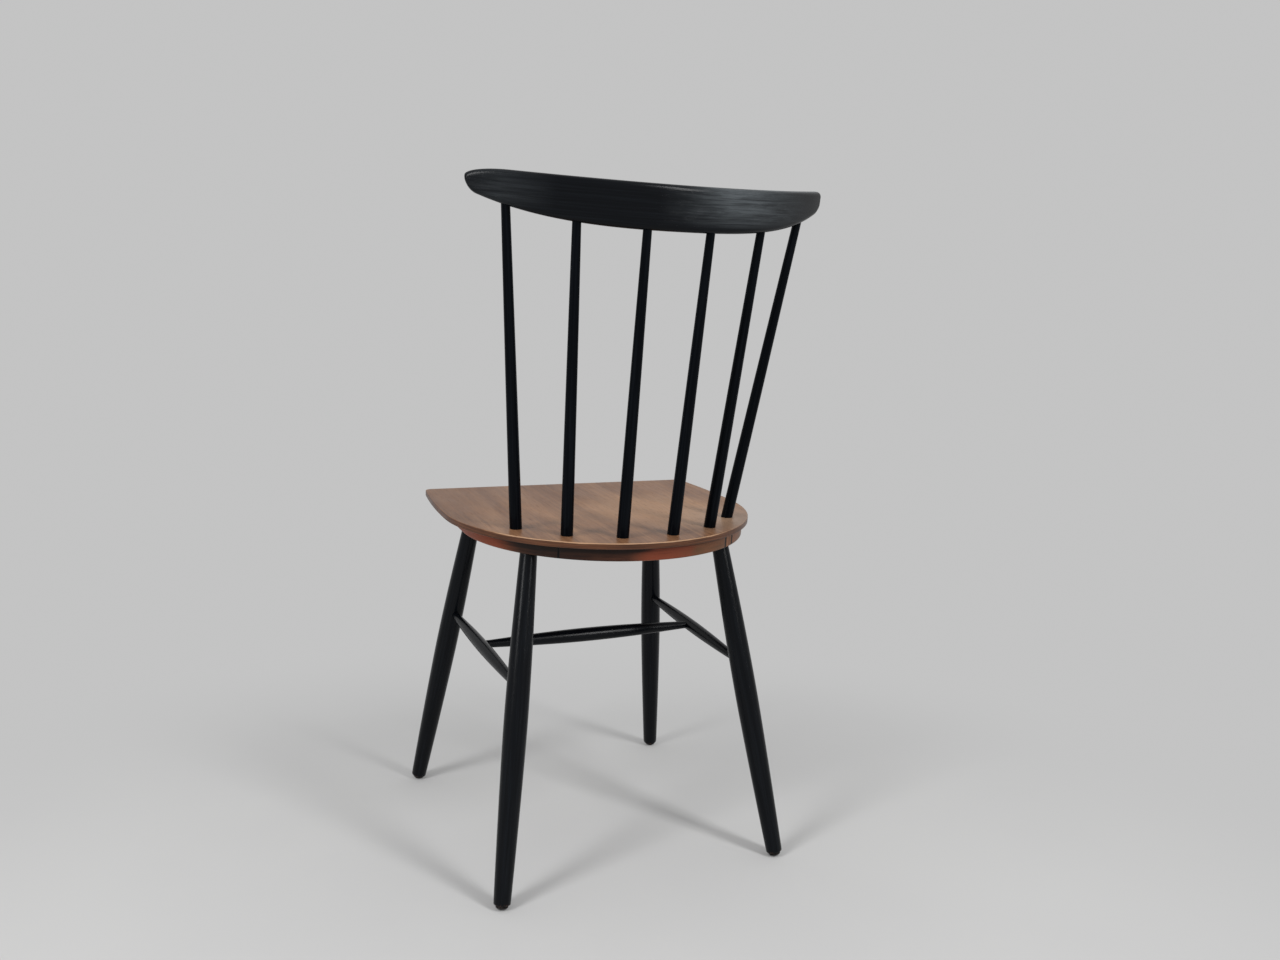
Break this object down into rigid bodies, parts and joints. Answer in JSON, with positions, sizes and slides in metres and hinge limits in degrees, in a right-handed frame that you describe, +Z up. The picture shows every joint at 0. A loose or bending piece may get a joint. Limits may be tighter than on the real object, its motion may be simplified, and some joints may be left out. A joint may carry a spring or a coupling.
{
  "type": "spindle-back chair",
  "caption": "Wooden side chair with a flat teak-faced seat, splayed black turned legs with stretchers, and a curved crest rail on slim black spindles.",
  "frame": {"origin": "on the floor under the middle of the bounding box", "axes": "+Z up, the chair faces -Y, +X is its left-hand side as it is sat on"},
  "size_m": [0.4472, 0.4398, 0.8413],
  "materials": {
    "black_lacquer": "satin black lacquer with faint grain streaks and rubbed edges",
    "teak_veneer": "satin greyish brown veneer, worn lighter along the edge",
    "bent_plywood": "satin brown stain with darker patches",
    "end_grain": "matte striped end grain",
    "dark_steel": "worn dark metal"
  },
  "bodies": {
    "root": {"crest_rail": "black_lacquer", "cross_stretcher": "black_lacquer", "foot_glide_back_left": "dark_steel", "foot_glide_back_right": "dark_steel", "foot_glide_front_left": "dark_steel", "foot_glide_front_right": "dark_steel", "leg_back_left": "black_lacquer", "leg_back_right": "black_lacquer", "leg_front_left": "black_lacquer", "leg_front_right": "black_lacquer", "rim_back": "bent_plywood", "rim_front": "black_lacquer", "rim_key": "end_grain", "rim_left": "bent_plywood", "rim_right": "bent_plywood", "seat_panel": "teak_veneer", "side_stretcher_left": "black_lacquer", "side_stretcher_right": "black_lacquer", "spindle_1": "black_lacquer", "spindle_2": "black_lacquer", "spindle_3": "black_lacquer", "spindle_4": "black_lacquer", "spindle_5": "black_lacquer", "spindle_6": "black_lacquer"}
  },
  "joints": []
}
